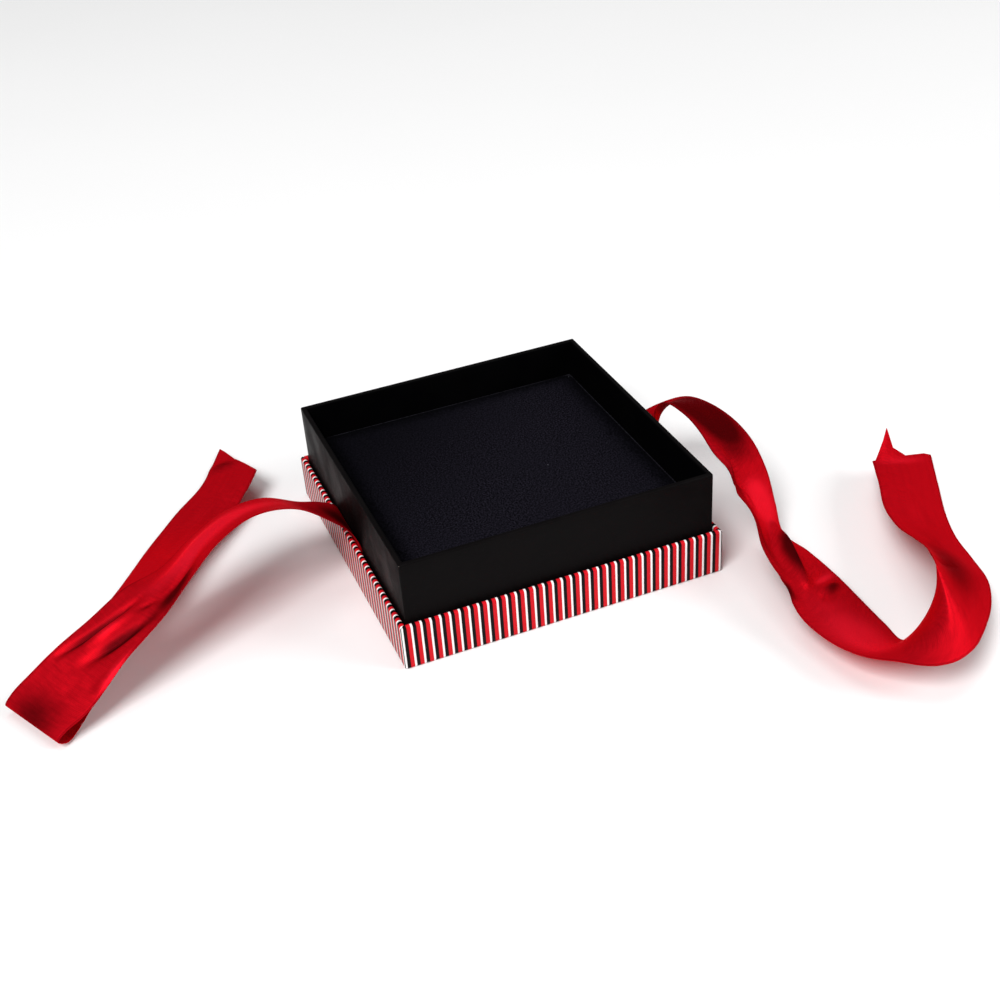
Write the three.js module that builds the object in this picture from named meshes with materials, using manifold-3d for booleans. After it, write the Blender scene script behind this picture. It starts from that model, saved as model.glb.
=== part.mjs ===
// A square jewellery gift box of the "shoulder" kind, standing open without its lid: a shallow striped
// tray, a tall black neck glued inside it, a velvet pad on a card riser, and two ribbons from the gap.
// Millimetres, +Z up, front at -Y. The origin is the middle of the flat underside.

import * as THREE from "three";
import { mergeVertices } from "three/addons/utils/BufferGeometryUtils.js";
import Module from "manifold-3d";

const wasm = await Module();
wasm.setup();

// ---- driving dimensions ----
const HALF = 45;                   // half the tray's outside width, which is square
const BOARD = 1.2;                 // greyboard of the tray and the neck
const PAPER = 0.15;                // covering paper
const TAPE = 0.1;                  // corner stays and tape, pressed into the board
const EDGE_STEPS = 8;              // facets over the tray's round top edge
const SLIT = 0.3;                  // open joint where two walls of folded board meet
const TRAY_TOP = 13.2;             // height of the striped wall
const NECK_TOP = 30.3;             // height of the black rim
const GAP = 0.5;                   // slot between tray wall and neck, where the ribbons come out
const TURN_UNDER = 12;             // width of the striped paper turned in under the floor
const TURN_DOWN = 9;               // depth of the striped paper turned down inside the wall
const STAY_REACH = 12;             // how far a stay or tape reaches from its corner

const PAD_TOP = 20.4;              // height of the velvet
const PAD_THICK = 8;
const VELVET = 0.5;
const PAD_CARD = 0.8;
const PAD_EASE = 0.7;              // slot between pad and neck
const RISER_CARD = 0.8;
const RISER_EASE = 0.5;            // slot between riser and neck
const VELVET_TURN_IN = 12;

const RIBBON_WIDTH = 22;
const RIBBON_THICK = 0.25;
const RIBBON_STEPS = 3;            // facets between two stations of a ribbon
const HINGE_CLEARANCE = 0.3;       // from a ribbon's hinge line to each of the two solids that meet there

// ---- sizes that follow ----
const trayWall = BOARD + 2 * PAPER;
const neckHalf = HALF - trayWall - GAP;
const neckInside = neckHalf - BOARD - 2 * PAPER;
const floorBottom = 2 * PAPER;
const floorTop = floorBottom + BOARD;
const linerTop = floorTop + PAPER;
const padHalf = neckInside - PAD_EASE;
const padBottom = PAD_TOP - PAD_THICK;
const riserHalf = neckInside - RISER_EASE;
const slotMiddle = HALF - trayWall - GAP / 2;

// ---- the ribbons' routes ----
// One station per row: x, y, z of the ribbon's middle, then the direction across it, from its near edge
// to its far edge, as a heading in the floor plane and a lift above that plane, in degrees.
const LEFT_ROUTE = [
  [-slotMiddle, 2.5, 3, 90, 0],
  [-slotMiddle, 2.5, 8, 90, 0],
  [-slotMiddle, 2.5, 12, 90, 0],
  [-43.3, 2.5, 13.5, 90, 0],
  [-44.5, 2.5, 15.8, 92, -3],
  [-47.3, 3, 18.3, 97, -8],
  [-51.5, 3, 21, 101, -13],        // the hinge line
  [-61, 2.5, 27, 104, -19],
  [-72, 0.5, 28.5, 104, -24],
  [-82, -3, 26, 103, -25],
  [-91.5, -7.5, 21.5, 105, -22],
  [-101, -11, 18, 110, -9],
  [-111, -15.5, 14, 112, -5],
  [-120, -19, 9.5, 115, 3],
  [-126.5, -22, 6.5, 117, 5],
  [-132, -24.5, 4.6, 117, 2],
  [-134.2, -25.5, 2.8, 117, 0],
  [-132.2, -24.5, 1.1, 118, 0],
  [-125.4, -16.3, 1.7, 124, -4],
  [-117.7, -8.2, 2.9, 131, -11],
  [-110.8, -0.6, 4.4, 136, -19],
  [-104.6, 7, 5.8, 139, -27],
  [-98.8, 14.5, 6.5, 140, -31],
  [-93, 22.4, 6.5, 141, -31],
  [-86.7, 30.3, 5.5, 141, -25],
  [-80.4, 37.9, 4.3, 140, -19],
  [-74.2, 45.2, 3.9, 137, -16],
  [-68.1, 52.2, 4.4, 131, -20],
  [-59.7, 65.6, 4.7, 127, -21],
];
const LEFT_HINGE = 6;
const LEFT_SLANT = 7;              // how far the far corner of the cut end runs ahead of the middle

const RIGHT_ROUTE = [
  [slotMiddle, 1.5, 3, 90, 0],
  [slotMiddle, 1.5, 8, 90, 0],
  [slotMiddle, 1.5, 12, 90, 0],
  [43.3, 1.5, 13.5, 90, 0],
  [44.5, 1.5, 15.8, 88, -2],
  [46.8, 1.5, 18.5, 80, -6],
  [50, 1, 22.5, 62, -11],
  [53, -0.5, 26.5, 38, -16],
  [55.5, -4, 28.5, 27, -24],       // the hinge line
  [58.3, -12.5, 27.7, 20, -26],
  [59.5, -21.5, 25, 16, -27],
  [59, -30.5, 20.7, 15, -29],
  [58, -38.5, 16, 18, -35],
  [56.8, -46.5, 12, 21, -40],
  [57, -55, 9.3, 14, -27],
  [57.5, -66, 7.8, 12, -21],
  [57.3, -77, 5.9, 11, -14],
  [58.5, -87, 4.7, 15, -16],
  [60.4, -95.2, 4.9, 23, -22],
  [65, -99.8, 9, 38, -8],
  [69.5, -103, 13.4, 57, 14],
  [73.8, -102.5, 17.2, 83, 35],
  [79, -97.3, 17, 109, 40],
  [84.7, -90.2, 14.9, 127, 36],
  [90, -80.9, 12, 140, 29],
  [93.9, -69.8, 8.8, 149, 26],
  [98, -58, 6.8, 154, 27],
  [103.4, -47, 6.4, 156, 30],
  [108.5, -37.5, 6.2, 157, 28],
  [113, -28.8, 6, 157, 25],
];
const RIGHT_HINGE = 8;
const RIGHT_SLANT = -9;

// ---- helpers: solids in and out of the boolean library ----
const SNAP = 1e4;                  // coordinates are rounded to 1/10000 mm, so equal faces stay equal

function welded(geometry) {
  const bare = geometry.index ? geometry.toNonIndexed() : geometry.clone();
  for (const name of Object.keys(bare.attributes)) {
    if (name !== "position") bare.deleteAttribute(name);
  }
  const position = bare.attributes.position;
  for (let i = 0; i < position.array.length; i += 1) {
    position.array[i] = Math.round(position.array[i] * SNAP) / SNAP;
  }
  return mergeVertices(bare, 1e-5);
}

function solid(geometry) {
  const mesh = welded(geometry);
  return new wasm.Manifold(new wasm.Mesh({
    numProp: 3,
    vertProperties: new Float32Array(mesh.attributes.position.array),
    triVerts: new Uint32Array(mesh.index.array),
  }));
}

function geometryOf(body) {
  const mesh = body.getMesh();
  const geometry = new THREE.BufferGeometry();
  geometry.setAttribute("position", new THREE.BufferAttribute(mesh.vertProperties, 3));
  geometry.setIndex(new THREE.BufferAttribute(mesh.triVerts, 1));
  geometry.computeVertexNormals();
  return geometry;
}

// A box between two corners.
function block(low, high) {
  const size = high.map((value, axis) => value - low[axis]);
  const box = new THREE.BoxGeometry(...size);
  box.translate(...low.map((value, axis) => value + size[axis] / 2));
  return solid(box);
}

// A square slab centred on the box's axis.
function slab(half, bottom, top) {
  return block([-half, -half, bottom], [half, half, top]);
}

// A closed outline of [distance from the axis, height], carried round the four sides with mitred
// corners, as paper and board go round a square box.
function squareRing(outline) {
  const points = [...outline, outline[0]].map(([r, z]) => new THREE.Vector2(r * Math.SQRT2, z));
  const ring = new THREE.LatheGeometry(points, 4, Math.PI / 4);
  ring.rotateX(Math.PI / 2);
  return solid(ring);
}

// The half circle that joins the outside of a wall to its inside at the top.
function roundTop(outside, inside, top) {
  const radius = (outside - inside) / 2;
  return Array.from({ length: EDGE_STEPS + 1 }, (_, i) => {
    const turn = (Math.PI * i) / EDGE_STEPS;
    return [inside + radius + radius * Math.cos(turn), top - radius + radius * Math.sin(turn)];
  });
}

// A rectangular section carried round the four sides.
function hoop(outside, inside, bottom, top) {
  return squareRing([[outside, bottom], [outside, top], [inside, top], [inside, bottom]]);
}

// The part of a thin hoop that wraps one corner, with equal legs on both sides of it.
function cornerStrip(outside, bottom, top, signX, signY) {
  const strip = hoop(outside, outside - TAPE, bottom, top);
  const reach = outside - STAY_REACH;
  const low = [Math.min(signX * HALF, signX * reach), Math.min(signY * HALF, signY * reach), bottom];
  const high = [Math.max(signX * HALF, signX * reach), Math.max(signY * HALF, signY * reach), top];
  return strip.intersect(block(low, high));
}

// The open joint at a corner of folded board, cut through the end of the wall that faces +Y or -Y.
function cornerSlit(outside, board, bottom, top, signX, signY) {
  const edge = outside - board;
  const low = [Math.min(signX * edge, signX * (edge - SLIT)), Math.min(signY * edge, signY * outside)];
  const high = [Math.max(signX * edge, signX * (edge - SLIT)), Math.max(signY * edge, signY * outside)];
  return block([...low, bottom], [...high, top]);
}

const CORNERS = [
  ["front_left", -1, -1],
  ["front_right", 1, -1],
  ["back_left", -1, 1],
  ["back_right", 1, 1],
];

// ---- the tray ----
const boardHalf = HALF - PAPER;
const boardTop = TRAY_TOP - PAPER;

function cornerStay(signX, signY) {
  return cornerStrip(boardHalf, floorTop, boardTop - BOARD, signX, signY);
}

function baseBoard() {
  const inside = boardHalf - BOARD;
  const walls = squareRing([
    [boardHalf, floorBottom],
    ...roundTop(boardHalf, inside, boardTop),
    [inside, floorBottom],
  ]);
  let tray = walls.add(slab(boardHalf, floorBottom, floorTop));
  for (const [, signX, signY] of CORNERS) {
    tray = tray.subtract(cornerSlit(boardHalf, BOARD, floorTop, boardTop, signX, signY));
    tray = tray.subtract(cornerStay(signX, signY));
  }
  return tray;
}

function baseWrap() {
  const inside = HALF - trayWall;
  return squareRing([
    [HALF, PAPER],
    ...roundTop(HALF, inside, TRAY_TOP),
    [inside, TRAY_TOP - TURN_DOWN],
    [inside + PAPER, TRAY_TOP - TURN_DOWN],
    ...roundTop(boardHalf, inside + PAPER, boardTop).reverse(),
    [boardHalf, floorBottom],
    [HALF - TURN_UNDER, floorBottom],
    [HALF - TURN_UNDER, PAPER],
  ]);
}

function baseSheet() {
  return slab(HALF - 2, 0, PAPER);
}

function floorLiner() {
  return slab(boardHalf - BOARD - 2 * PAPER, floorTop, linerTop);
}

// ---- the neck ----
const neckBoardHalf = neckHalf - PAPER;
const neckBoardTop = NECK_TOP - PAPER;

function neckTape() {
  return cornerStrip(neckBoardHalf, linerTop + BOARD, neckBoardTop - BOARD, -1, 1);
}

function neckBoard() {
  const ring = hoop(neckBoardHalf, neckBoardHalf - BOARD, linerTop, neckBoardTop);
  const open = ring.subtract(cornerSlit(neckBoardHalf, BOARD, linerTop, neckBoardTop, -1, 1));
  return open.subtract(neckTape());
}

function neckWrap() {
  return squareRing([
    [neckHalf, linerTop],
    [neckHalf, NECK_TOP],
    [neckInside, NECK_TOP],
    [neckInside, linerTop],
    [neckInside + PAPER, linerTop],
    [neckInside + PAPER, neckBoardTop],
    [neckBoardHalf, neckBoardTop],
    [neckBoardHalf, linerTop],
  ]);
}

// ---- the riser and the pad ----
function riser() {
  const plate = padBottom - RISER_CARD;
  let tray = slab(riserHalf, linerTop, padBottom);
  tray = tray.subtract(slab(riserHalf - RISER_CARD, linerTop - BOARD, plate));
  for (const [, signX, signY] of CORNERS) {
    tray = tray.subtract(cornerSlit(riserHalf, RISER_CARD, linerTop, plate, signX, signY));
  }
  return tray;
}

const coreHalf = padHalf - VELVET;
const cardBottom = padBottom + VELVET;
const foamBottom = cardBottom + PAD_CARD;
const foamTop = PAD_TOP - VELVET;

function padCover() {
  const outside = slab(padHalf, padBottom, PAD_TOP);
  const core = slab(coreHalf, cardBottom, foamTop);
  const opening = slab(padHalf - VELVET_TURN_IN, padBottom - VELVET, cardBottom);
  return outside.subtract(core).subtract(opening);
}

// ---- the ribbons ----
function across(heading, lift) {
  const flat = Math.cos(THREE.MathUtils.degToRad(lift));
  const turn = THREE.MathUtils.degToRad(heading);
  const rise = Math.sin(THREE.MathUtils.degToRad(lift));
  return new THREE.Vector3(flat * Math.cos(turn), flat * Math.sin(turn), rise);
}

// The two edges of a ribbon, as smooth curves through its stations.
function edgeCurves(route) {
  const edge = (side) => new THREE.CatmullRomCurve3(route.map(([x, y, z, heading, lift]) => (
    new THREE.Vector3(x, y, z).addScaledVector(across(heading, lift), (side * RIBBON_WIDTH) / 2)
  )));
  return { near: edge(-1), far: edge(1) };
}

// A flat strip between two stations of a route, as a closed solid RIBBON_THICK thick. Its cut end leans
// by slant: over the last two stations the far edge runs on by that much and the near edge stops short.
function ribbonSolid(route, first, last, slant) {
  const { near, far } = edgeCurves(route);
  const spans = route.length - 1;
  const middle = (t) => near.getPoint(t).add(far.getPoint(t)).multiplyScalar(0.5);
  const steps = Math.round((last - first) * RIBBON_STEPS);
  const positions = [];
  const corners = [];
  for (let i = 0; i <= steps; i += 1) {
    const station = first + ((last - first) * i) / steps;
    const t = station / spans;
    const width = far.getPoint(t).sub(near.getPoint(t)).normalize();
    const run = middle(Math.min(t + 1e-3, 1)).sub(middle(Math.max(t - 1e-3, 0))).normalize();
    const face = new THREE.Vector3().crossVectors(width, run).normalize();
    const lean = slant * Math.max(0, (station - (spans - 2)) / 2);
    const row = [[1, 1], [1, -1], [-1, -1], [-1, 1]].map(([side, skin]) => (
      middle(t)
        .addScaledVector(width, (side * RIBBON_WIDTH) / 2)
        .addScaledVector(run, side * lean)
        .addScaledVector(face, (skin * RIBBON_THICK) / 2)
    ));
    corners.push(row);
  }
  const triangle = (a, b, c) => positions.push(...a.toArray(), ...b.toArray(), ...c.toArray());
  const quad = (a, b, c, d) => {
    triangle(a, b, c);
    triangle(a, c, d);
  };
  for (let i = 0; i < steps; i += 1) {
    const [farTop, farUnder, nearUnder, nearTop] = corners[i];
    const [nextFarTop, nextFarUnder, nextNearUnder, nextNearTop] = corners[i + 1];
    quad(farTop, farUnder, nextFarUnder, nextFarTop);
    quad(farUnder, nearUnder, nextNearUnder, nextFarUnder);
    quad(nearUnder, nearTop, nextNearTop, nextNearUnder);
    quad(farTop, nextFarTop, nextNearTop, nearTop);      // split along the same diagonal as the underside
  }
  const [start, end] = [corners[0], corners[steps]];
  triangle(start[0], start[2], start[1]);
  triangle(start[0], start[3], start[2]);
  triangle(end[0], end[1], end[2]);
  triangle(end[0], end[2], end[3]);
  const geometry = new THREE.BufferGeometry();
  geometry.setAttribute("position", new THREE.Float32BufferAttribute(positions, 3));
  return solid(geometry);
}

// How many stations the hinge clearance takes up, on each side of the hinge station.
function clearanceIn(route, hinge) {
  const place = (i) => new THREE.Vector3(...route[i].slice(0, 3));
  return {
    before: HINGE_CLEARANCE / place(hinge).distanceTo(place(hinge - 1)),
    after: HINGE_CLEARANCE / place(hinge).distanceTo(place(hinge + 1)),
  };
}

function ribbonRoot(route, hinge) {
  return ribbonSolid(route, 0, hinge - clearanceIn(route, hinge).before, 0);
}

function ribbonTail(route, hinge, slant) {
  return ribbonSolid(route, hinge + clearanceIn(route, hinge).after, route.length - 1, slant);
}

// ---- materials ----
const finish = (color, roughness) => new THREE.MeshStandardMaterial({ color, roughness, metalness: 0 });
const greyboard = finish(0x8d867c, 0.9);
const kraft = finish(0xb48a5a, 0.8);
const stripedPaper = finish(0xc8202c, 0.45);
const blackPaper = finish(0x141112, 0.6);
const whiteCard = finish(0xe6e3dc, 0.7);
const foam = finish(0x2b2a30, 0.95);
const velvet = finish(0x15141a, 1);
const redRibbon = finish(0xa00a14, 0.55);

// ---- assembly ----
const box = new THREE.Group();

function add(name, body, material) {
  const mesh = new THREE.Mesh(geometryOf(body), material);
  mesh.name = name;
  box.add(mesh);
}

add("base_board", baseBoard(), greyboard);
for (const [corner, signX, signY] of CORNERS) {
  add(`base_corner_stay_${corner}`, cornerStay(signX, signY), kraft);
}
add("base_wrap", baseWrap(), stripedPaper);
add("base_sheet", baseSheet(), blackPaper);
add("floor_liner", floorLiner(), blackPaper);
add("neck_board", neckBoard(), greyboard);
add("neck_corner_tape", neckTape(), kraft);
add("neck_wrap", neckWrap(), blackPaper);
add("riser", riser(), whiteCard);
add("pad_card", slab(coreHalf, cardBottom, foamBottom), greyboard);
add("pad_foam", slab(coreHalf, foamBottom, foamTop), foam);
add("pad_cover", padCover(), velvet);
add("ribbon_left_root", ribbonRoot(LEFT_ROUTE, LEFT_HINGE), redRibbon);
add("ribbon_left_tail", ribbonTail(LEFT_ROUTE, LEFT_HINGE, LEFT_SLANT), redRibbon);
add("ribbon_right_root", ribbonRoot(RIGHT_ROUTE, RIGHT_HINGE), redRibbon);
add("ribbon_right_tail", ribbonTail(RIGHT_ROUTE, RIGHT_HINGE, RIGHT_SLANT), redRibbon);

export default box;
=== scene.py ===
"""Looks of an open jewellery gift box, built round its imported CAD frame.

A striped tray, a black neck, a velvet pad and two loose red ribbons. Metres, +Z up, front at -Y.
"""

import math

import bpy
import numpy as np
from mathutils import Matrix, Vector


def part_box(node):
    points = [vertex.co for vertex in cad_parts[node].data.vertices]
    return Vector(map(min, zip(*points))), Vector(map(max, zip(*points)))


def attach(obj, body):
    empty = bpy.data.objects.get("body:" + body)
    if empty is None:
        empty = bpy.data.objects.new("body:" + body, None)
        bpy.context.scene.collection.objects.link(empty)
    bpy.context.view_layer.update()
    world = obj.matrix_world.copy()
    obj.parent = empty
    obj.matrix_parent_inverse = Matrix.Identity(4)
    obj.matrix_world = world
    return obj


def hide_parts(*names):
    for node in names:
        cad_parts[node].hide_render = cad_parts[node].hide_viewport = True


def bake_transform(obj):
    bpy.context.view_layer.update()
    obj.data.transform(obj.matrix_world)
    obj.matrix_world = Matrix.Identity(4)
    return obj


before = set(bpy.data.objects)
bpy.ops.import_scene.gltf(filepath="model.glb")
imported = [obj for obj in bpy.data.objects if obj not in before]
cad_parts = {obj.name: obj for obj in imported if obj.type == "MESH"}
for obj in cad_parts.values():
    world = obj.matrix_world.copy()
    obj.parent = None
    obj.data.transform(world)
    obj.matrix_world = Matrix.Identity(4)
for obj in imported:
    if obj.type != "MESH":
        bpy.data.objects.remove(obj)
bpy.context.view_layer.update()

MM = 0.001

# ---- camera ----
AZIMUTH = math.radians(-20.03)
ELEVATION = math.radians(33.8)
ROLL = math.radians(-4.43)
TARGET = Vector((5.16, 14.49, 0)) * MM
DISTANCE = 422 * MM
FOCAL_LENGTH = 52                  # in the camera's own millimetres, as is the sensor
SENSOR_WIDTH = 36


def make_camera():
    """The camera looks down on the box from the front left, with a slight roll."""
    flat = math.cos(ELEVATION)
    back = Vector((math.sin(AZIMUTH) * flat, -math.cos(AZIMUTH) * flat, math.sin(ELEVATION)))
    right = Vector((math.cos(AZIMUTH), math.sin(AZIMUTH), 0))
    up = back.cross(right)
    rolled_right = math.cos(ROLL) * right + math.sin(ROLL) * up
    rolled_up = math.cos(ROLL) * up - math.sin(ROLL) * right
    lens = bpy.data.cameras.new("camera")
    lens.lens = FOCAL_LENGTH
    lens.sensor_width = SENSOR_WIDTH
    lens.clip_start = 0.01
    camera = bpy.data.objects.new("camera", lens)
    bpy.context.scene.collection.objects.link(camera)
    turn = Matrix((rolled_right, rolled_up, back)).transposed().to_4x4()
    camera.matrix_world = Matrix.Translation(TARGET + back * DISTANCE) @ turn
    bpy.context.scene.camera = camera


make_camera()


# ---- node materials ----
class Paint:
    """A material with a Principled shader, and short ways to make the nodes that feed it."""

    def __init__(self, name, roughness=0.6, **values):
        self.material = bpy.data.materials.new(name)
        self.material.use_nodes = True
        self.tree = self.material.node_tree
        self.shader = self.tree.nodes["Principled BSDF"]
        self.shader.inputs["Roughness"].default_value = roughness
        for socket, value in values.items():
            self.shader.inputs[socket.replace("_", " ")].default_value = value
        self.place = self.tree.nodes.new("ShaderNodeTexCoord").outputs["Object"]

    def put(self, socket, value):
        """Links a socket to another one, or sets its number."""
        if isinstance(value, bpy.types.NodeSocket):
            self.tree.links.new(value, socket)
        else:
            socket.default_value = value

    def math(self, operation, *values):
        node = self.tree.nodes.new("ShaderNodeMath")
        node.operation = operation
        for socket, value in zip(node.inputs, values):
            self.put(socket, value)
        return node.outputs[0]

    def split(self, vector):
        """The x, y and z of a vector."""
        node = self.tree.nodes.new("ShaderNodeSeparateXYZ")
        self.put(node.inputs[0], vector)
        return node.outputs

    def stretched(self, vector, factors):
        """A vector with each axis multiplied by its own factor."""
        node = self.tree.nodes.new("ShaderNodeVectorMath")
        node.operation = "MULTIPLY"
        self.put(node.inputs[0], vector)
        node.inputs[1].default_value = factors
        return node.outputs[0]

    def noise(self, size, detail=2.0, vector=None, rough=0.5):
        """Cloudy noise with features about size metres across, from 0 to 1."""
        node = self.tree.nodes.new("ShaderNodeTexNoise")
        self.put(node.inputs["Vector"], self.place if vector is None else vector)
        node.inputs["Scale"].default_value = 1 / size
        node.inputs["Detail"].default_value = detail
        node.inputs["Roughness"].default_value = rough
        return node.outputs["Fac"]

    def cells(self, size):
        """Distance to the nearest of scattered points that lie about size metres apart."""
        node = self.tree.nodes.new("ShaderNodeTexVoronoi")
        self.put(node.inputs["Vector"], self.place)
        node.inputs["Scale"].default_value = 1 / size
        return node.outputs["Distance"]

    def between(self, value, low, high, to_low=0.0, to_high=1.0):
        """Carries low..high smoothly over to to_low..to_high, and holds still outside."""
        node = self.tree.nodes.new("ShaderNodeMapRange")
        node.interpolation_type = "SMOOTHSTEP"
        for socket, number in zip(node.inputs, (value, low, high, to_low, to_high)):
            self.put(socket, number)
        return node.outputs[0]

    def blended(self, factor, low, high):
        """A colour between low and high, which are colours or sockets."""
        node = self.tree.nodes.new("ShaderNodeMix")
        node.data_type = "RGBA"
        self.put(node.inputs[0], factor)
        for socket, color in ((node.inputs[6], low), (node.inputs[7], high)):
            self.put(socket, color if isinstance(color, bpy.types.NodeSocket) else (*color, 1))
        return node.outputs[2]

    def color(self, value):
        self.put(self.shader.inputs["Base Color"], value)

    def rough(self, value):
        self.put(self.shader.inputs["Roughness"], value)

    def bump(self, height, depth):
        """Bump from a height of 0 to 1, depth metres deep, added to any bump made before."""
        node = self.tree.nodes.new("ShaderNodeBump")
        node.inputs["Distance"].default_value = depth
        node.inputs["Strength"].default_value = 1.0
        self.put(node.inputs["Height"], height)
        before = self.shader.inputs["Normal"].links
        if before:
            self.put(node.inputs["Normal"], before[0].from_socket)
        self.put(self.shader.inputs["Normal"], node.outputs[0])


TRAY_SIDE = 90 * MM
GROUPS_PER_SIDE = 35.42            # a group is a white, a black and a red stripe
FIRST_STRIPE = -0.03               # where in a group each wall starts
WHITE_SHARE = 0.20
BLACK_SHARE = 0.37
STRIPE_SOFTNESS = 0.025            # half the share of a group over which one ink fades into the next


def striped_paper():
    """Printed stripes that stand upright on each wall and run on over the top edge."""
    paint = Paint("striped_paper", 0.36, Specular_IOR_Level=0.08)
    x, y, _ = paint.split(paint.place)
    on_side = paint.math("GREATER_THAN", paint.math("ABSOLUTE", x), paint.math("ABSOLUTE", y))
    along_side = paint.math("MULTIPLY", y, paint.math("SIGN", x))
    along_front = paint.math("MULTIPLY", paint.math("MULTIPLY", x, paint.math("SIGN", y)), -1.0)
    side_part = paint.math("MULTIPLY", along_side, on_side)
    front_part = paint.math("MULTIPLY", along_front, paint.math("SUBTRACT", 1.0, on_side))
    along = paint.math("ADD", side_part, front_part)
    wobble = paint.math("MULTIPLY", paint.math("SUBTRACT", paint.noise(3 * MM), 0.5), 0.05 * MM)
    from_corner = paint.math("ADD", paint.math("ADD", along, TRAY_SIDE / 2), wobble)
    groups = paint.math("MULTIPLY", from_corner, GROUPS_PER_SIDE / TRAY_SIDE)
    phase = paint.math("FRACT", paint.math("ADD", groups, FIRST_STRIPE))
    red_from = WHITE_SHARE + BLACK_SHARE
    black = paint.between(phase, WHITE_SHARE - STRIPE_SOFTNESS, WHITE_SHARE + STRIPE_SOFTNESS)
    red = paint.between(phase, red_from - STRIPE_SOFTNESS, red_from + STRIPE_SOFTNESS)
    back_to_white = paint.between(phase, 1 - STRIPE_SOFTNESS, 1.0)
    fleck = paint.noise(0.12 * MM, 3)
    red_ink = paint.blended(fleck, (0.56, 0.006, 0.012), (0.7, 0.012, 0.022))
    black_ink = paint.blended(fleck, (0.001, 0.0008, 0.001), (0.004, 0.003, 0.0035))
    bare = paint.blended(fleck, (0.9, 0.88, 0.88), (0.97, 0.95, 0.95))
    color = paint.blended(black, bare, black_ink)
    color = paint.blended(red, color, red_ink)
    color = paint.blended(back_to_white, color, bare)
    paint.color(color)
    paint.rough(paint.between(paint.noise(0.8 * MM, 3), 0.3, 0.7, 0.3, 0.42))
    paint.bump(paint.noise(0.25 * MM, 3), 0.012 * MM)
    paint.bump(paint.noise(6 * MM, 1), 0.05 * MM)
    return paint.material


NECK_INSIDE = 41.6 * MM            # painted shade: the paper is darker within this half width, inside the neck


def black_paper():
    """Black covering paper: fine fibre grain, faint scuffs, and painted shade inside the neck."""
    paint = Paint("black_paper", 0.5, Specular_IOR_Level=0.04)
    grain = paint.noise(0.3 * MM, 4, rough=0.7)
    clouds = paint.noise(9 * MM, 3)
    color = paint.blended(grain, (0.0014, 0.0011, 0.0012), (0.0036, 0.0028, 0.003))
    scuff = paint.noise(1.0, 2, paint.stretched(paint.place, (260, 260, 1500)))
    color = paint.blended(paint.between(scuff, 0.66, 0.8, 0.0, 0.35), color, (0.009, 0.0078, 0.008))
    color = paint.blended(paint.between(clouds, 0.35, 0.7, 0.0, 0.4), color, (0.0048, 0.0038, 0.004))
    x, y, _ = paint.split(paint.place)
    from_middle = paint.math("MAXIMUM", paint.math("ABSOLUTE", x), paint.math("ABSOLUTE", y))
    # painted shade: the paper inside the neck is darkened where shade falls in the box
    painted_neck_shade_factor = paint.between(from_middle, NECK_INSIDE, NECK_INSIDE + 0.4 * MM)
    paint.color(paint.blended(painted_neck_shade_factor, (0.0008, 0.0007, 0.0009), color))
    paint.rough(paint.between(clouds, 0.3, 0.7, 0.42, 0.58))
    paint.bump(grain, 0.015 * MM)
    paint.bump(clouds, 0.25 * MM)
    return paint.material


DIM_CORNER = -36 * MM              # painted shade: the velvet darkens towards its back left corner, from LIT_FROM
LIT_FROM = 6 * MM
BORDER_FROM = 33 * MM              # painted shade also darkens it towards its edges, from one half width to the other
BORDER_TO = 40 * MM


def velvet():
    """Short flocked pile, near black with a cool cast, with painted shade at its edges and towards its
    back left corner, and specks of lint.
    """
    paint = Paint("velvet", 1.0, Specular_IOR_Level=0.02)
    pile = paint.noise(0.45 * MM, 4, rough=0.8)
    nap = paint.noise(18 * MM, 2)
    tips = paint.between(pile, 0.45, 0.58)
    color = paint.blended(tips, (0.0003, 0.0003, 0.0008), (0.0145, 0.013, 0.02))
    color = paint.blended(paint.between(nap, 0.4, 0.7, 0.0, 0.3), color, (0.006, 0.0055, 0.0088))
    x, y, _ = paint.split(paint.place)
    # painted shade: darker towards the back left corner and near the edges, where the walls shade the
    # pad
    to_front_right = paint.math("MULTIPLY", paint.math("SUBTRACT", x, y), 0.5)
    painted_corner_shade_factor = paint.between(to_front_right, DIM_CORNER, LIT_FROM, 0.35, 1.0)
    from_middle = paint.math("MAXIMUM", paint.math("ABSOLUTE", x), paint.math("ABSOLUTE", y))
    painted_edge_shade_factor = paint.between(from_middle, BORDER_FROM, BORDER_TO, 1.0, 0.2)
    color = paint.blended(paint.math("MULTIPLY", painted_corner_shade_factor, painted_edge_shade_factor), (0.0006, 0.0006, 0.001), color)
    lint = paint.between(paint.cells(7 * MM), 0.02, 0.035, 1.0, 0.0)
    paint.color(paint.blended(lint, color, (0.06, 0.06, 0.07)))
    paint.bump(pile, 0.08 * MM)
    return paint.material


RIBBON_WIDTH = 22
RIB_PITCH = 0.42 * MM
THREAD_PITCH = 0.24 * MM


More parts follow.
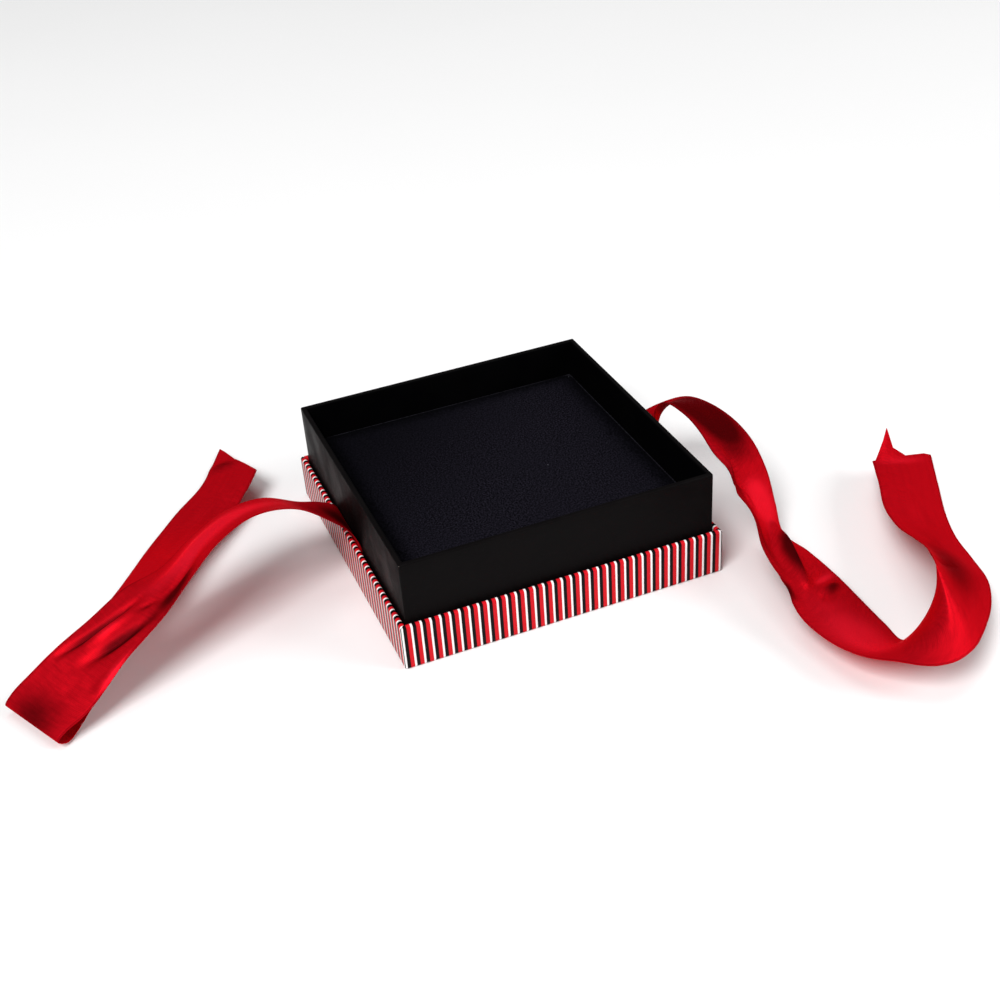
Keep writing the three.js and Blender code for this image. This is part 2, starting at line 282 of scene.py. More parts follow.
def ribbon_cloth():
    """Red satin: fine ribs across the ribbon, finer threads along it, a denser selvedge, and painted
    shade and painted highlights where it folds and turns."""
    paint = Paint("ribbon", 0.42, Specular_IOR_Level=0.0, Metallic=0.5, Anisotropic=0.3,
                  Specular_Tint=(1, 0.04, 0.08, 1))
    uv = paint.tree.nodes.new("ShaderNodeUVMap")
    uv.uv_map = "cloth"
    across, along, _ = paint.split(uv.outputs[0])
    rib = paint.math("SINE", paint.math("MULTIPLY", along, 2 * math.pi / RIB_PITCH))
    thread = paint.math("SINE", paint.math("MULTIPLY", across, 2 * math.pi / THREAD_PITCH))
    weave = paint.math("ADD", paint.math("MULTIPLY", rib, 0.35), paint.math("MULTIPLY", thread, 0.15))
    height = paint.math("ADD", weave, 0.5)
    half = RIBBON_WIDTH / 2 * MM
    from_middle = paint.math("ABSOLUTE", paint.math("SUBTRACT", across, half))
    from_edge = paint.math("SUBTRACT", half, from_middle)
    selvedge = paint.between(from_edge, 0.5 * MM, 0.8 * MM, 1.0, 0.0)
    slubs = paint.noise(1.0, 3, paint.stretched(uv.outputs[0], (220, 1600, 1)))
    streak = paint.noise(1.0, 3, paint.stretched(uv.outputs[0], (900, 60, 1)))
    color = paint.blended(slubs, (0.42, 0.0025, 0.007), (0.72, 0.0055, 0.015))
    color = paint.blended(paint.between(streak, 0.35, 0.7, 0.0, 0.45), color, (0.48, 0.003, 0.009))
    color = paint.blended(paint.math("MULTIPLY", selvedge, 0.4), color, (0.24, 0.002, 0.005))
    # painted shade and painted highlight, read from the ribbon's points: darker below 0, brighter above
    # it
    painted_shading = paint.tree.nodes.new("ShaderNodeAttribute")
    painted_shading.attribute_name = "painted_shading"
    painted_shade_mix = paint.between(painted_shading.outputs["Fac"], -1.0, 0.0, 0.92, 0.0)
    painted_highlight_mix = paint.between(painted_shading.outputs["Fac"], 0.0, 1.0, 0.0, 1.0)
    color = paint.blended(painted_shade_mix, color, (0.035, 0.0012, 0.002))
    paint.color(paint.blended(painted_highlight_mix, color, (0.95, 0.012, 0.032)))
    paint.rough(paint.between(slubs, 0.3, 0.7, 0.36, 0.5))
    paint.bump(height, 0.03 * MM)
    paint.bump(selvedge, 0.05 * MM)
    paint.bump(slubs, 0.03 * MM)
    return paint.material


def greyboard():
    """Recycled board: grey with darker and paler fibres."""
    paint = Paint("greyboard", 0.9, Specular_IOR_Level=0.2)
    fibres = paint.noise(1.0, 4, paint.stretched(paint.place, (2600, 900, 1400)), 0.7)
    specks = paint.cells(0.7 * MM)
    color = paint.blended(fibres, (0.17, 0.15, 0.125), (0.36, 0.33, 0.29))
    paint.color(paint.blended(paint.between(specks, 0.05, 0.2, 0.7, 0.0), color, (0.07, 0.065, 0.06)))
    paint.bump(fibres, 0.06 * MM)
    return paint.material


def kraft_tape():
    """Brown gummed paper with long fibres."""
    paint = Paint("kraft_tape", 0.7, Specular_IOR_Level=0.3)
    fibres = paint.noise(1.0, 4, paint.stretched(paint.place, (700, 700, 3000)), 0.65)
    paint.color(paint.blended(fibres, (0.27, 0.15, 0.065), (0.52, 0.33, 0.17)))
    paint.bump(fibres, 0.03 * MM)
    return paint.material


def white_card():
    """Uncoated white card."""
    paint = Paint("white_card", 0.75, Specular_IOR_Level=0.3)
    fibres = paint.noise(0.5 * MM, 4, rough=0.7)
    paint.color(paint.blended(fibres, (0.66, 0.64, 0.6), (0.8, 0.79, 0.76)))
    paint.bump(fibres, 0.03 * MM)
    return paint.material


def foam():
    """Charcoal foam with open cells."""
    paint = Paint("foam", 1.0, Specular_IOR_Level=0.1)
    cells = paint.cells(0.6 * MM)
    walls = paint.between(cells, 0.1, 0.6)
    paint.color(paint.blended(walls, (0.002, 0.002, 0.003), (0.014, 0.013, 0.018)))
    paint.bump(cells, 0.3 * MM)
    return paint.material


STRIPED = striped_paper()
BLACK = black_paper()
VELVET = velvet()
RIBBON = ribbon_cloth()
BOARD = greyboard()
KRAFT = kraft_tape()
CARD = white_card()
FOAM = foam()


# ---- mesh helpers ----
def make_mesh(name, points, faces, material, sharp=40, uv=None, painted_shading=None):
    """A mesh object from points in metres. uv gives one pair for each point; the last argument gives one
    number of painted shade or highlight for each point.
    """
    mesh = bpy.data.meshes.new(name)
    mesh.from_pydata([tuple(p) for p in points], [], faces)
    mesh.polygons.foreach_set("use_smooth", [True] * len(mesh.polygons))
    if uv is not None:
        layer = mesh.uv_layers.new(name="cloth")
        corner_points = np.zeros(len(mesh.loops), np.int32)
        mesh.loops.foreach_get("vertex_index", corner_points)
        layer.data.foreach_set("uv", np.asarray(uv, np.float32)[corner_points].ravel())
    if painted_shading is not None:
        painted_shadings = mesh.attributes.new("painted_shading", "FLOAT", "POINT")
        painted_shadings.data.foreach_set("value", np.asarray(painted_shading, np.float32))
    mesh.set_sharp_from_angle(angle=math.radians(sharp))
    mesh.materials.append(material)
    mesh.validate()
    piece = bpy.data.objects.new(name, mesh)
    bpy.context.scene.collection.objects.link(piece)
    return piece


def arc(center_r, center_z, radius, start, end, steps):
    """Points (r, z) of an arc between two angles in degrees."""
    turns = [math.radians(start + (end - start) * i / steps) for i in range(steps + 1)]
    return [(center_r + radius * math.cos(a), center_z + radius * math.sin(a)) for a in turns]


CORNER_STEPS = 4
SIDE_STEPS = 24
LEAST_RADIUS = 0.02


def square_loop(half, radius):
    """Points round a square with rounded corners, all in millimetres."""
    radius = max(radius, LEAST_RADIUS)
    loop = []
    for quarter in range(4):
        middle = math.radians(45 + 90 * quarter)
        sign_x = math.copysign(1, math.cos(middle))
        sign_y = math.copysign(1, math.sin(middle))
        center = ((half - radius) * sign_x, (half - radius) * sign_y)
        for i in range(CORNER_STEPS + 1):
            a = math.radians(90 * quarter + 90 * i / CORNER_STEPS)
            loop.append((center[0] + radius * math.cos(a), center[1] + radius * math.sin(a)))
        a = math.radians(90 * quarter + 90)
        start = np.array(loop[-1])
        step = np.array((-math.sin(a), math.cos(a))) * 2 * (half - radius) / SIDE_STEPS
        loop.extend(tuple(start + step * i) for i in range(1, SIDE_STEPS))
    return loop


def square_rings(profile, corner_radius, outside):
    """One rounded square for each (r, z) of a profile. outside is the half width at which the corner
    has its full radius."""
    rings = []
    for r, z in profile:
        loop = square_loop(r, corner_radius - (outside - r))
        rings.append([(x, y, z) for x, y in loop])
    return np.array(rings)


def band(first, second, count):
    """Faces between two rings of count points, given the rings' numbers."""
    faces = []
    for k in range(count):
        n = (k + 1) % count
        faces.append((first * count + k, first * count + n, second * count + n, second * count + k))
    return faces


def square_sweep(name, profile, corner_radius, outside, material):
    """A closed profile of (r, z) in millimetres, carried round a square with rounded corners."""
    rings = square_rings(profile, corner_radius, outside)
    total, count = rings.shape[:2]
    faces = []
    for i in range(total):
        faces += band(i, (i + 1) % total, count)
    return make_mesh(name, rings.reshape(-1, 3) * MM, faces, material)


def node_box(node):
    """The lowest and highest corner of a CAD piece, in millimetres."""
    low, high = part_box(node)
    return low / MM, high / MM


# ---- the tray's striped wrap, in millimetres ----
PAPER = 0.15
WRAP_LOW, WRAP_HIGH = node_box("base_wrap")
HALF = WRAP_HIGH.x
TRAY_TOP = WRAP_HIGH.z
WALL = 1.5                         # board and the paper on both its sides
TURN_DOWN = 9
TURN_UNDER = 12
FOOT_RADIUS = 0.4
CORNER_RADIUS = 0.5
WALL_ROWS = 3                      # extra rows of points up the wall, WALL_ROW apart
WALL_ROW = 3
EDGE_STEPS = 14
FOOT_STEPS = 4


def tray_wrap():
    """Striped paper: under the floor, up the wall, over a fully round edge and down inside."""
    inside = HALF - WALL
    edge = WALL / 2
    low = WRAP_LOW.z
    foot = FOOT_RADIUS
    profile = [(HALF - TURN_UNDER, low)]
    profile += arc(HALF - foot, low + foot, foot, -90, 0, FOOT_STEPS)
    profile += [(HALF, low + WALL_ROW * (i + 1)) for i in range(WALL_ROWS)]
    profile += arc(HALF - edge, TRAY_TOP - edge, edge, 0, 180, EDGE_STEPS)
    profile += [(inside, TRAY_TOP - TURN_DOWN), (inside + PAPER, TRAY_TOP - TURN_DOWN)]
    profile += arc(HALF - edge, TRAY_TOP - edge, edge - PAPER, 180, 0, EDGE_STEPS)
    profile += arc(HALF - foot, low + foot, foot - PAPER, 0, -90, FOOT_STEPS)
    profile += [(HALF - TURN_UNDER, low + PAPER)]
    return square_sweep("striped_wrap", profile, CORNER_RADIUS, HALF, STRIPED)


wrap = tray_wrap()
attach(wrap, "box")
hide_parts("base_wrap")

# ---- the neck's black paper, in millimetres ----
NECK_LOW, NECK_HIGH = node_box("neck_wrap")
NECK_HALF = NECK_HIGH.x
NECK_TOP = NECK_HIGH.z
RIM_RADIUS = 0.4
RIM_STEPS = 5
RIM_STEPS_INSIDE = 3
NECK_ROWS = 8


def neck_paper():
    """Black paper over the neck: outside, rim and inside, with softly rounded edges."""
    inside = NECK_HALF - WALL
    bottom = NECK_LOW.z
    rim = RIM_RADIUS
    levels = [bottom + (NECK_TOP - bottom) * i / NECK_ROWS for i in range(NECK_ROWS)]
    profile = [(NECK_HALF, z) for z in levels]
    profile += arc(NECK_HALF - rim, NECK_TOP - rim, rim, 0, 90, RIM_STEPS)
    profile += arc(inside + rim, NECK_TOP - rim, rim, 90, 180, RIM_STEPS)
    profile += [(inside, z) for z in reversed(levels)]
    profile += [(inside + PAPER, bottom)]
    profile += arc(inside + rim, NECK_TOP - rim, rim - PAPER, 180, 90, RIM_STEPS_INSIDE)
    profile += arc(NECK_HALF - rim, NECK_TOP - rim, rim - PAPER, 90, 0, RIM_STEPS_INSIDE)
    profile += [(NECK_HALF - PAPER, bottom)]
    return square_sweep("neck_paper", profile, CORNER_RADIUS, NECK_HALF, BLACK)


neck = neck_paper()
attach(neck, "box")
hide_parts("neck_wrap")

# ---- the velvet pad, in millimetres ----
PAD_LOW, PAD_HIGH = node_box("pad_cover")
PAD_HALF = PAD_HIGH.x
PILE_REACH = 0.5                   # the pile brushes up against the neck, past the cover's own cloth
PAD_EDGE = 0.8                     # radius of the pad's edges
PAD_CORNER = 2.2
PAD_EDGE_STEPS = 5
UNDERSIDE_INSETS = (10, 1)         # rows of points on the pad's underside, in from its edge
SIDE_LEVELS = (2.5, 4.3)           # rows of points up the pad's side, above its underside
BEFORE_SWELL = 0.1                 # the pad is smaller by this all round, and lower by TOP_BEFORE_SWELL
TOP_BEFORE_SWELL = 0.2
TOP_AFTER_SWELL = 0.3              # the pile may stand this far above the CAD's pad
SIM_SCALE = 10                     # the cloth solver works better on a larger pad
SIM_FRAMES = 20
SWELL_LIMIT = 0.7
VOXEL = 1.0


def pad_shape():
    """A closed pad with soft edges, a little smaller than its place, as it is before it swells."""
    half = PAD_HALF + PILE_REACH - BEFORE_SWELL
    top = PAD_HIGH.z - TOP_BEFORE_SWELL
    bottom = PAD_LOW.z
    edge = PAD_EDGE
    profile = [(half - inset, bottom) for inset in UNDERSIDE_INSETS]
    profile += [(half, bottom + edge)]
    profile += [(half, bottom + level) for level in SIDE_LEVELS]
    profile += arc(half - edge, top - edge, edge, 0, 90, PAD_EDGE_STEPS)
    rings = square_rings(profile, PAD_CORNER, half)
    total, count = rings.shape[:2]
    faces = []
    for i in range(total - 1):
        faces += band(i, i + 1, count)
    faces.append(tuple(range(count))[::-1])
    last = (total - 1) * count
    faces.append(tuple(range(last, last + count)))
    return make_mesh("velvet_pad", rings.reshape(-1, 3) * MM, faces, VELVET)


def apply_modifiers(piece):
    """Bakes the piece's modifiers into its mesh."""
    graph = bpy.context.evaluated_depsgraph_get()
    mesh = bpy.data.meshes.new_from_object(piece.evaluated_get(graph), depsgraph=graph)
    piece.modifiers.clear()
    piece.data = mesh


def coordinates(piece):
    """The piece's points, as rows of x, y and z in metres."""
    co = np.zeros(len(piece.data.vertices) * 3, np.float32)
    piece.data.vertices.foreach_get("co", co)
    return co.reshape(-1, 3).astype(float)


def set_coordinates(piece, co):
    piece.data.vertices.foreach_set("co", np.asarray(co, np.float32).ravel())
    piece.data.update()


def swell(piece):
    """Blows the pad up as cloth, then limits how far each point went."""
    remesh = piece.modifiers.new("remesh", "REMESH")
    remesh.mode = "VOXEL"
    remesh.voxel_size = VOXEL * MM
    apply_modifiers(piece)
    start = coordinates(piece)
    set_coordinates(piece, start * SIM_SCALE)
    cloth = piece.modifiers.new("cloth", "CLOTH")
    cloth.settings.use_pressure = True
    cloth.settings.uniform_pressure_force = 4
    cloth.settings.tension_stiffness = 25
    cloth.settings.compression_stiffness = 25
    cloth.settings.quality = 5
    cloth.settings.effector_weights.gravity = 0
    cloth.collision_settings.use_collision = False
    scene = bpy.context.scene
    for number in range(1, SIM_FRAMES + 1):
        scene.frame_set(number)
    apply_modifiers(piece)
    scene.frame_set(1)
    moved = coordinates(piece) / SIM_SCALE - start
    length = np.linalg.norm(moved, axis=1, keepdims=True)
    limit = SWELL_LIMIT * MM
    moved *= limit * np.tanh(length / limit) / np.maximum(length, 1e-9)
    set_coordinates(piece, start + moved)


def settle_pad(piece):
    """Keeps the pad in its place: flat where it rests, and inside the neck."""
    co = coordinates(piece)
    limit = (PAD_HALF + PILE_REACH) * MM
    co[:, :2] = np.clip(co[:, :2], -limit, limit)
    co[:, 2] = np.clip(co[:, 2], PAD_LOW.z * MM, (PAD_HIGH.z + TOP_AFTER_SWELL) * MM)
    set_coordinates(piece, co)


def velvet_pad():
    pad = pad_shape()
    swell(pad)
    settle_pad(pad)
    finer = pad.modifiers.new("finer", "SUBSURF")
    finer.levels = finer.render_levels = 1
    apply_modifiers(pad)
    pad.data.polygons.foreach_set("use_smooth", [True] * len(pad.data.polygons))
    if not pad.data.materials:
        pad.data.materials.append(VELVET)
    return pad


pad = velvet_pad()
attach(pad, "pad")
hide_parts("pad_cover")

# ---- ribbons, in millimetres ----
SLOT = 43.25                       # middle of the gap between tray wall and neck
# One station per row, in millimetres and degrees: the ribbon's middle, then the direction across it,
# from its near edge to its far edge, as a heading and a lift. The routes are those of the CAD solids.
LEFT_ROUTE = [
    [-SLOT, 2.5, 3, 90, 0],
    [-SLOT, 2.5, 8, 90, 0],
    [-SLOT, 2.5, 12, 90, 0],
    [-43.3, 2.5, 13.5, 90, 0],
    [-44.5, 2.5, 15.8, 92, -3],
    [-47.3, 3, 18.3, 97, -8],
    [-51.5, 3, 21, 101, -13],
    [-61, 2.5, 27, 104, -19],
    [-72, 0.5, 28.5, 104, -24],
    [-82, -3, 26, 103, -25],
    [-91.5, -7.5, 21.5, 105, -22],
    [-101, -11, 18, 110, -9],
    [-111, -15.5, 14, 112, -5],
    [-120, -19, 9.5, 115, 3],
    [-126.5, -22, 6.5, 117, 5],
    [-132, -24.5, 4.6, 117, 2],
    [-134.2, -25.5, 2.8, 117, 0],
    [-132.2, -24.5, 1.1, 118, 0],
    [-125.4, -16.3, 1.7, 124, -4],
    [-117.7, -8.2, 2.9, 131, -11],
    [-110.8, -0.6, 4.4, 136, -19],
    [-104.6, 7, 5.8, 139, -27],
    [-98.8, 14.5, 6.5, 140, -31],
    [-93, 22.4, 6.5, 141, -31],
    [-86.7, 30.3, 5.5, 141, -25],
    [-80.4, 37.9, 4.3, 140, -19],
    [-74.2, 45.2, 3.9, 137, -16],
    [-68.1, 52.2, 4.4, 131, -20],
    [-59.7, 65.6, 4.7, 127, -21],
]
LEFT_SLANT = 7                     # how far the cut end leans along the ribbon, at its edges
RIGHT_ROUTE = [
    [SLOT, 1.5, 3, 90, 0],
    [SLOT, 1.5, 8, 90, 0],
    [SLOT, 1.5, 12, 90, 0],
    [43.3, 1.5, 13.5, 90, 0],
    [44.5, 1.5, 15.8, 88, -2],
    [46.8, 1.5, 18.5, 80, -6],
    [50, 1, 22.5, 62, -11],
    [53, -0.5, 26.5, 38, -16],
    [55.5, -4, 28.5, 27, -24],
    [58.3, -12.5, 27.7, 20, -26],
    [59.5, -21.5, 25, 16, -27],
    [59, -30.5, 20.7, 15, -29],
    [58, -38.5, 16, 18, -35],
    [56.8, -46.5, 12, 21, -40],
    [57, -55, 9.3, 14, -27],
    [57.5, -66, 7.8, 12, -21],
    [57.3, -77, 5.9, 11, -14],
    [58.5, -87, 4.7, 15, -16],
    [60.4, -95.2, 4.9, 23, -22],
    [65, -99.8, 9, 38, -8],
    [69.5, -103, 13.4, 57, 14],
    [73.8, -102.5, 17.2, 83, 35],
    [79, -97.3, 17, 109, 40],
    [84.7, -90.2, 14.9, 127, 36],
    [90, -80.9, 12, 140, 29],
    [93.9, -69.8, 8.8, 149, 26],
    [98, -58, 6.8, 154, 27],
    [103.4, -47, 6.4, 156, 30],
    [108.5, -37.5, 6.2, 157, 28],
    [113, -28.8, 6, 157, 25],
]
RIGHT_SLANT = -9
SLANT_STATIONS = 2                 # how many stations the lean takes up
RIBBON_THICK = 0.25
ROWS_PER_STATION = 16
ACROSS = 40                        # strips across the ribbon


def across(heading, lift):
    """Unit direction across the ribbon, from degrees."""
    h, l = math.radians(heading), math.radians(lift)
    return np.array((math.cos(l) * math.cos(h), math.cos(l) * math.sin(h), math.sin(l)))


def smooth_through(points, t):
    """A centripetal Catmull-Rom curve through points, at t from 0 to 1."""
    n = len(points)
    place = (n - 1) * t
    i = min(int(math.floor(place)), n - 2)
    w = place - i
    p1, p2 = points[i], points[i + 1]
    p0 = points[i - 1] if i > 0 else 2 * points[0] - points[1]
    p3 = points[i + 2] if i + 2 < n else 2 * points[-1] - points[-2]
    d0, d1, d2 = (math.sqrt(np.linalg.norm(b - a)) for a, b in ((p0, p1), (p1, p2), (p2, p3)))
    t1 = ((p1 - p0) / d0 - (p2 - p0) / (d0 + d1) + (p2 - p1) / d1) * d1
    t2 = ((p2 - p1) / d1 - (p3 - p1) / (d1 + d2) + (p3 - p2) / d2) * d1
    return p1 + t1 * w + (-3 * p1 + 3 * p2 - 2 * t1 - t2) * w**2 + (2 * p1 - 2 * p2 + t1 + t2) * w**3


def ribbon_frames(route, slant):
    """Along the ribbon: station numbers, middles, directions across and along, and the end's lean."""
    offsets = [across(h, l) * RIBBON_WIDTH / 2 for *_, h, l in route]
    middles = [np.array(row[:3], float) for row in route]
    far = [m + o for m, o in zip(middles, offsets)]
    near = [m - o for m, o in zip(middles, offsets)]
    spans = len(route) - 1
    stations = np.linspace(0, spans, spans * ROWS_PER_STATION + 1)
    far_edge = np.array([smooth_through(far, s / spans) for s in stations])
    near_edge = np.array([smooth_through(near, s / spans) for s in stations])
    middle = (far_edge + near_edge) / 2
    wide = far_edge - near_edge
    wide /= np.linalg.norm(wide, axis=1, keepdims=True)
    run = np.gradient(middle, axis=0)
    run /= np.linalg.norm(run, axis=1, keepdims=True)
    lean = slant * np.clip((stations - (spans - SLANT_STATIONS)) / SLANT_STATIONS, 0, None)
    return stations, middle, wide, run, lean


def bell(x):
    return np.exp(-x * x)


STATION_STEP = 10                  # roughly the distance between stations
END_SHARE = 0.4                    # how much of its full height a mark keeps at its two ends


def marked(stations, sides, marks):
    """The sum of soft marks on the ribbon, each drawn from one place to another. A mark gives the
    station and side where it starts, the same where it ends, its half width and its height. Sides run
    from -1 at the near edge to 1 at the far edge."""
    s, v = np.meshgrid(stations * STATION_STEP, sides * RIBBON_WIDTH / 2, indexing="ij")
    height = np.zeros_like(s)
    for s0, v0, s1, v1, wide, high in marks:
        start = np.array((s0 * STATION_STEP, v0 * RIBBON_WIDTH / 2))
        way = np.array((s1 * STATION_STEP, v1 * RIBBON_WIDTH / 2)) - start
        t = np.clip(((s - start[0]) * way[0] + (v - start[1]) * way[1]) / way.dot(way), 0, 1)
        away = np.hypot(s - start[0] - t * way[0], v - start[1] - t * way[1])
        full = END_SHARE + (1 - END_SHARE) * np.sin(t * math.pi)
        height += high * full * bell(away / wide)
    return height


PULL_CURVE = 1.5                   # above 1, a pull acts mostly near the very end


def pull_end(surface, stations, sides, run, wide, pulls):
    """Draws the cut end out into points. Each pull: the side it is at and how wide it is there, how many
    stations it takes up, then how many millimetres it goes along, across and up."""
    shape = surface.copy()
    for side, reach, length, along, over, up in pulls:
        near_end = np.clip((stations - stations[-1] + length) / length, 0, 1) ** PULL_CURVE
        at_side = np.clip(1 - np.abs(sides - side) / reach, 0, 1)
        way = run[-1] * along + wide[-1] * over + np.array((0, 0, up))
        shape += (near_end[:, None] * at_side[None, :])[:, :, None] * way
    return shape


def quads(a, b, c, d):
    """Faces from four equal arrays of point numbers, one array for each corner."""
    return np.stack([a, b, c, d], axis=-1).reshape(-1, 4).tolist()


def ribbon_faces(rows, columns):
    """Faces of a closed strip: its top, its underside, its two long edges and its two ends. The top's
    points are numbered row by row, and the underside's follow in the same order."""
    top = np.arange(rows * columns).reshape(rows, columns)
    under = top + rows * columns
    faces = quads(top[:-1, :-1], top[1:, :-1], top[1:, 1:], top[:-1, 1:])
    faces += quads(under[:-1, :-1], under[:-1, 1:], under[1:, 1:], under[1:, :-1])
    faces += quads(top[:-1, 0], under[:-1, 0], under[1:, 0], top[1:, 0])
    faces += quads(top[1:, -1], under[1:, -1], under[:-1, -1], top[:-1, -1])
    faces += quads(top[0, 1:], under[0, 1:], under[0, :-1], top[0, :-1])
    faces += quads(top[-1, :-1], under[-1, :-1], under[-1, 1:], top[-1, 1:])
    return faces


def cloth_coordinates(surface, sides):
    """For each point of the surface, how far across and how far along the cloth it is, in metres."""
    steps = np.linalg.norm(np.diff(surface, axis=0), axis=2)
    along = np.vstack([np.zeros(len(sides)), np.cumsum(steps, axis=0)])
    over = np.broadcast_to((sides + 1) / 2 * RIBBON_WIDTH, along.shape)
    return np.stack([over, along], axis=2).reshape(-1, 2) * MM


def ribbon(name, route, slant, folds, pulls, painted_shadings):
    """A woven strip with thickness, folds and edges, as one closed mesh."""
    stations, middle, wide, run, lean = ribbon_frames(route, slant)
    sides = np.linspace(-1, 1, ACROSS + 1)
    flat = middle[:, None, :] + wide[:, None, :] * sides[None, :, None] * RIBBON_WIDTH / 2
    flat = flat + run[:, None, :] * (sides[None, :] * lean[:, None])[:, :, None]
    face = surface_normals(flat)
    surface = flat + face * marked(stations, sides, folds)[:, :, None]
    surface = pull_end(surface, stations, sides, run, wide, pulls)
    surface[:, :, 2] = np.maximum(surface[:, :, 2], RIBBON_THICK)
    face = surface_normals(surface)
    top = surface + face * RIBBON_THICK / 2
    under = surface - face * RIBBON_THICK / 2
    points = np.vstack([top.reshape(-1, 3), under.reshape(-1, 3)]) * MM
    uv = cloth_coordinates(surface, sides)
    # painted shade and painted highlight for each point, from the marks
    painted_shading = marked(stations, sides, painted_shadings).ravel()
    faces = ribbon_faces(len(stations), len(sides))
    return make_mesh(name, points, faces, RIBBON, 60, np.vstack([uv, uv]), np.concatenate([painted_shading, painted_shading]))


def surface_normals(surface):
    """Unit normals of a grid of points, on the side that faces up where the ribbon lies flat."""
    along = np.gradient(surface, axis=0)
    over = np.gradient(surface, axis=1)
    normal = np.cross(over, along)
    return normal / np.maximum(np.linalg.norm(normal, axis=2, keepdims=True), 1e-9)


# The folds, as marks with their heights in millimetres.
LEFT_FOLDS = [
    (11.0, 0.25, 13.1, 0.8, 1.2, -1.6),
    (9.5, -0.3, 10.7, -0.5, 1.6, -1.2),
    (10.8, -0.32, 11.2, -0.05, 1.0, -0.8),
    (11.2, -0.6, 12.8, 0.0, 1.8, -2.0),
    (11.3, 0.0, 12.4, 0.35, 1.4, 1.0),
    (12.0, -0.9, 13.2, -0.85, 1.5, 0.8),
    (8.5, 0.3, 10.5, 0.1, 3.0, 0.8),
    (27.9, 0.0, 27.4, 1.0, 1.2, -0.8),
]
RIGHT_FOLDS = [
    (12.8, 0.6, 15.2, -0.25, 1.6, -2.4),
    (13.2, 0.1, 14.8, -0.6, 1.5, 1.2),
    (15.2, 0.1, 14.9, 0.8, 1.3, 1.4),
    (15.6, 0.1, 15.4, 0.75, 1.2, -1.2),
    (10.6, -0.75, 11.9, -1.0, 2.2, -2.6),
    (12.2, -0.9, 14.8, -1.0, 3.6, -2.4),
    (11.9, -0.6, 12.5, -0.3, 1.2, -0.9),
    (15.1, -1.1, 15.7, -1.1, 3.0, -1.5),
    (22.2, 0.9, 23.6, 0.0, 0.9, 0.5),
]
# Painted shade and painted highlights on the satin, as marks too: darker below 0 and brighter above it,
# to the full at -1 and 1.
LEFT_PAINTED_SHADING = [
    (3.5, 0.0, 5.6, 0.0, 9.0, -1.0),
    (7.2, 0.1, 10.4, 0.1, 6.0, 1.15),
    (9.7, -0.6, 11.0, -0.75, 3.4, -1.2),
    (10.9, -0.3, 11.2, -0.05, 1.3, -0.7),
    (11.2, 0.3, 12.9, 0.75, 1.8, -1.1),
    (11.3, -0.55, 12.6, -0.05, 2.5, -1.1),
    (11.6, 0.1, 12.3, 0.3, 1.4, 0.5),
    (12.0, -0.9, 13.2, -0.9, 2.0, 0.45),
    (14.0, 0.1, 16.8, 0.0, 10.0, -0.75),
    (13.0, 0.0, 13.8, 0.1, 3.0, 0.3),
    (27.9, 0.0, 27.4, 1.0, 1.5, -0.6),
]
RIGHT_PAINTED_SHADING = [
    (6.6, 0.0, 10.3, 0.0, 10.0, -1.9),
    (11.3, 0.3, 12.9, 0.3, 6.5, 1.3),
    (11.2, -0.85, 12.4, -0.8, 3.0, -0.8),
    (12.6, -0.8, 14.5, -0.8, 3.2, -0.65),
    (15.1, -0.95, 15.7, -0.95, 2.2, -0.9),
    (13.0, 0.5, 15.1, -0.2, 2.4, -1.2),
    (15.2, 0.2, 15.0, 0.9, 1.3, 0.9),
    (15.7, 0.05, 15.4, 0.75, 1.7, -0.95),
    (16.2, -0.1, 18.6, 0.0, 8.0, 1.1),
    (19.3, -0.8, 19.3, 0.8, 4.5, -0.35),
    (21.8, 0.2, 24.9, 0.0, 8.0, -0.75),
    (28.8, -0.8, 28.7, 0.8, 1.5, 0.5),
]
LEFT_PULLS = [
    (1.0, 0.7, 0.7, 0.5, 1.3, 0.6),
    (0.2, 0.5, 0.4, -0.6, 0.0, 0.0),
]
RIGHT_PULLS = [
    (0.6, 0.3, 0.3, 8.6, -1.6, 5.0),
    (0.3, 0.4, 0.3, 2.5, 0.0, 1.8),
    (-1.0, 0.25, 0.3, -0.8, 0.0, -0.3),
    (0.0, 3.0, 1.2, 1.1, -0.3, 0.4),
]


def hinge_blend(piece):
    """Bakes the piece's transform into its mesh."""
    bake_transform(piece)


left = ribbon("ribbon_left", LEFT_ROUTE, LEFT_SLANT, LEFT_FOLDS, LEFT_PULLS, LEFT_PAINTED_SHADING)
hinge_blend(left)
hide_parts("ribbon_left_root", "ribbon_left_tail")
right = ribbon("ribbon_right", RIGHT_ROUTE, RIGHT_SLANT, RIGHT_FOLDS, RIGHT_PULLS, RIGHT_PAINTED_SHADING)
hinge_blend(right)
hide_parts("ribbon_right_root", "ribbon_right_tail")

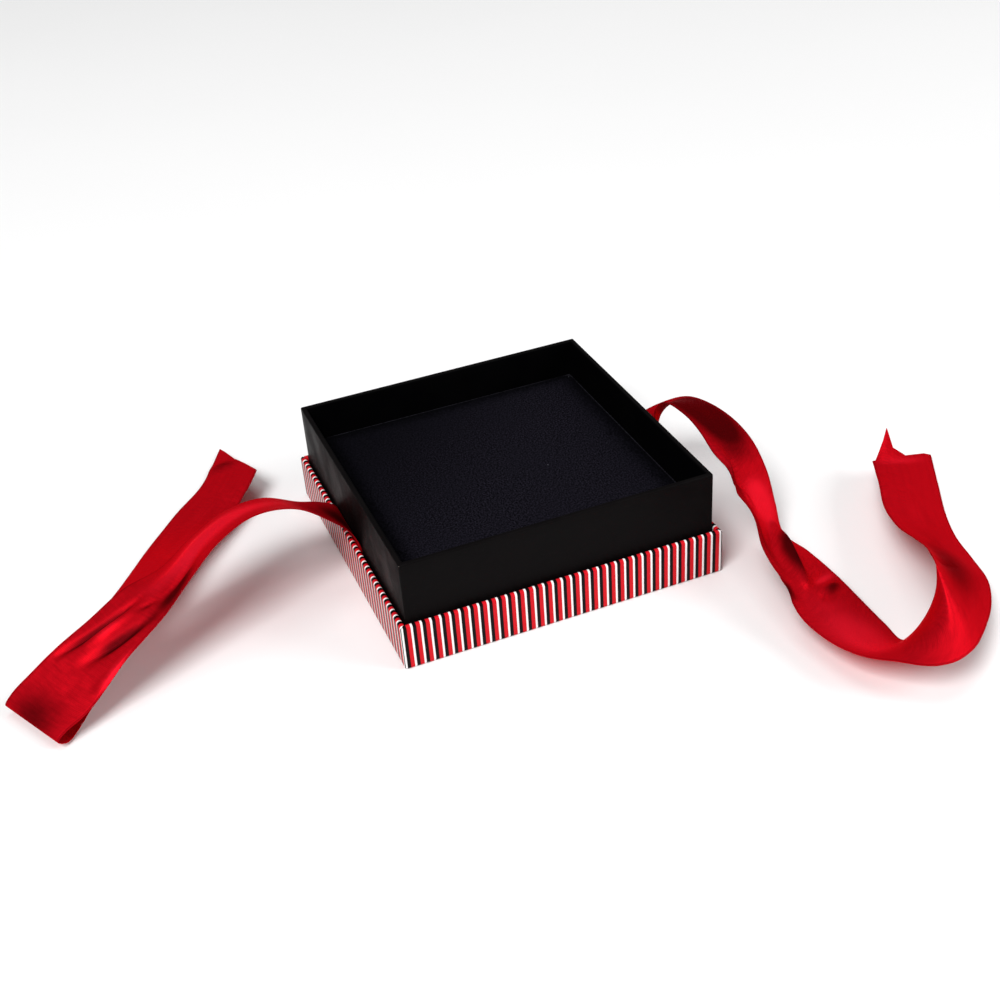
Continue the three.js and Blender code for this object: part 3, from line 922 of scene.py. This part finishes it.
# ---- finishes of the CAD pieces that stay ----
CAD_FINISHES = {
    "base_board": BOARD,
    "neck_board": BOARD,
    "pad_card": BOARD,
    "base_corner_stay_front_left": KRAFT,
    "base_corner_stay_front_right": KRAFT,
    "base_corner_stay_back_left": KRAFT,
    "base_corner_stay_back_right": KRAFT,
    "neck_corner_tape": KRAFT,
    "base_sheet": BLACK,
    "floor_liner": BLACK,
    "riser": CARD,
    "pad_foam": FOAM,
}
for node, material in CAD_FINISHES.items():
    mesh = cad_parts[node].data
    mesh.materials.clear()
    mesh.materials.append(material)


# ---- floor and light ----
FLOOR_REACH = 4.0


def floor_finish():
    """Plain pale matt floor."""
    paint = Paint("floor", 0.8, Specular_IOR_Level=0.1)
    paint.color(paint.blended(paint.noise(0.2), (0.9, 0.9, 0.9), (0.93, 0.93, 0.93)))
    return paint.material


def make_floor():
    reach = FLOOR_REACH
    corners = [(-reach, -reach, 0), (reach, -reach, 0), (reach, reach, 0), (-reach, reach, 0)]
    floor = make_mesh("floor", corners, [(0, 1, 2, 3)], floor_finish())


def softbox(name, place, aim, size, power):
    """A square area light of size metres and power watts, turned towards its aim."""
    lamp = bpy.data.lights.new(name, "AREA")
    lamp.shape = "RECTANGLE"
    lamp.size = size
    lamp.size_y = size
    lamp.energy = power
    holder = bpy.data.objects.new(name, lamp)
    bpy.context.scene.collection.objects.link(holder)
    holder.location = place
    holder.rotation_euler = (Vector(aim) - Vector(place)).to_track_quat("-Z", "Y").to_euler()


WORLD_STRENGTH = 0.14


def make_light():
    """Three softboxes in a dim white surround."""
    world = bpy.data.worlds.new("studio")
    world.use_nodes = True
    back = world.node_tree.nodes["Background"]
    back.inputs["Color"].default_value = (1, 1, 1, 1)
    back.inputs["Strength"].default_value = WORLD_STRENGTH
    bpy.context.scene.world = world
    softbox("key", (-1.2, -1.0, 1.9), (0, 0, 0), 1.1, 54)
    softbox("right", (1.5, -0.9, 1.1), (0, 0, 0), 1.1, 20)
    softbox("top", (0, 0.5, 2.6), (0, 0.2, 0), 1.4, 15)
    bpy.context.scene.view_settings.view_transform = "Standard"


make_floor()
make_light()
